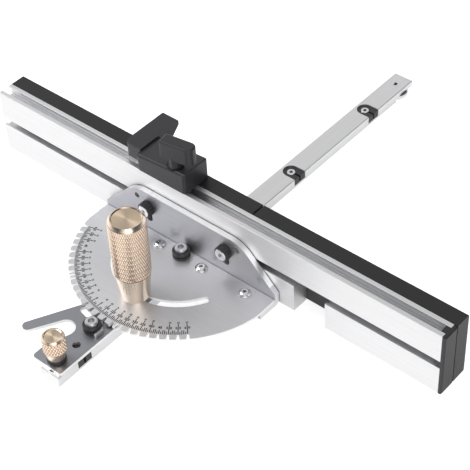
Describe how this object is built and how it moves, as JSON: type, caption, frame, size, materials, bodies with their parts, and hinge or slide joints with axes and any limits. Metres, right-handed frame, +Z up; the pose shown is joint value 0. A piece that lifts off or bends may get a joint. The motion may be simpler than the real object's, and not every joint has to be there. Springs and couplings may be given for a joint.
{
  "type": "miter gauge",
  "caption": "Table saw miter gauge with a toothed protractor head, a long T slot fence with black facing boards, a side stop and a turned handle.",
  "frame": {"origin": "pivot axis of the protractor head at the underside of the bar", "axes": "+Y along the bar away from the operator, +X to the operator's right along the fence, +Z up"},
  "size_m": [0.453, 0.45, 0.112],
  "materials": {
    "bar_aluminium": "satin drawn",
    "fence_aluminium": "satin anodised",
    "dial_metal": "fine brushed",
    "bracket_metal": "fine brushed",
    "index_grey": "matt grey with bright cut edges",
    "handle_brass": "knurled, turned ends",
    "knob_brass": "knurled, turned ends",
    "cap_steel": "bright zinc",
    "screw_steel": "bright zinc",
    "washer_steel": "plain steel",
    "black_nylon": "matt moulded",
    "collar_nylon": "satin moulded",
    "clamp_black": "matt fluted",
    "board_black": "matt fine texture",
    "cap_black": "satin moulded",
    "stop_black": "satin moulded",
    "paddle_black": "satin moulded"
  },
  "bodies": {
    "bar": {"miter_bar": "bar_aluminium", "bar_expanders": "black_nylon", "expander_screws": "screw_steel", "tip_screw": "screw_steel", "tip_washer": "washer_steel", "pivot_screw": "cap_steel", "pivot_collar": "collar_nylon", "index_screw": "cap_steel", "index_collar": "collar_nylon", "index_washer": "black_nylon"},
    "head": {"dial_plate": "dial_metal", "fence_bracket": "bracket_metal", "plate_screws": "cap_steel"},
    "main_handle": {"handle": "handle_brass", "handle_stud": "screw_steel"},
    "index": {"index_plate": "index_grey"},
    "index_lock": {"index_knob": "knob_brass", "index_knob_stud": "screw_steel"},
    "fence_clamp": {"clamp_nuts": "washer_steel"},
    "clamp_left": {"clamp_knob_left": "clamp_black", "clamp_screw_left": "screw_steel"},
    "clamp_right": {"clamp_knob_right": "clamp_black", "clamp_screw_right": "screw_steel"},
    "fence": {"fence_extrusion": "fence_aluminium", "face_board_left": "board_black", "face_board_right": "board_black", "fence_end_cap": "cap_black"},
    "side_stop": {"stop_body": "stop_black", "stop_bolt": "washer_steel"},
    "stop_lock": {"stop_knob": "paddle_black"}
  },
  "joints": [
    {"name": "head_swing", "type": "hinge", "parent": "bar", "child": "head", "pos_m": [0, 0, 0.0145], "axis": [0, 0, 1], "range_deg": [-60, 60]},
    {"name": "handle_turn", "type": "hinge", "parent": "bar", "child": "main_handle", "pos_m": [0, -0.0533, 0.017], "axis": [0, 0, 1], "continuous": true},
    {"name": "index_slide", "type": "slide", "parent": "bar", "child": "index", "axis": [0, 1, 0], "range_m": [0, 0.004]},
    {"name": "index_knob_turn", "type": "hinge", "parent": "bar", "child": "index_lock", "pos_m": [-0.0035, -0.136, 0.0155], "axis": [0, 0, 1], "continuous": true},
    {"name": "fence_rise", "type": "slide", "parent": "head", "child": "fence_clamp", "axis": [0, 0, 1], "range_m": [0, 0.0035]},
    {"name": "clamp_left_turn", "type": "hinge", "parent": "fence_clamp", "child": "clamp_left", "pos_m": [-0.0404, 0.0016, 0.04], "axis": [0, 1, 0], "continuous": true},
    {"name": "clamp_right_turn", "type": "hinge", "parent": "fence_clamp", "child": "clamp_right", "pos_m": [0.0404, 0.0016, 0.04], "axis": [0, 1, 0], "continuous": true},
    {"name": "fence_slide", "type": "slide", "parent": "fence_clamp", "child": "fence", "axis": [1, 0, 0], "range_m": [-0.182, 0.165]},
    {"name": "stop_slide", "type": "slide", "parent": "fence", "child": "side_stop", "axis": [1, 0, 0], "range_m": [-0.191, 0.243]},
    {"name": "stop_knob_turn", "type": "hinge", "parent": "side_stop", "child": "stop_lock", "pos_m": [-0.0175, 0.0205, 0.0972], "axis": [0, 0, 1], "continuous": true}
  ]
}
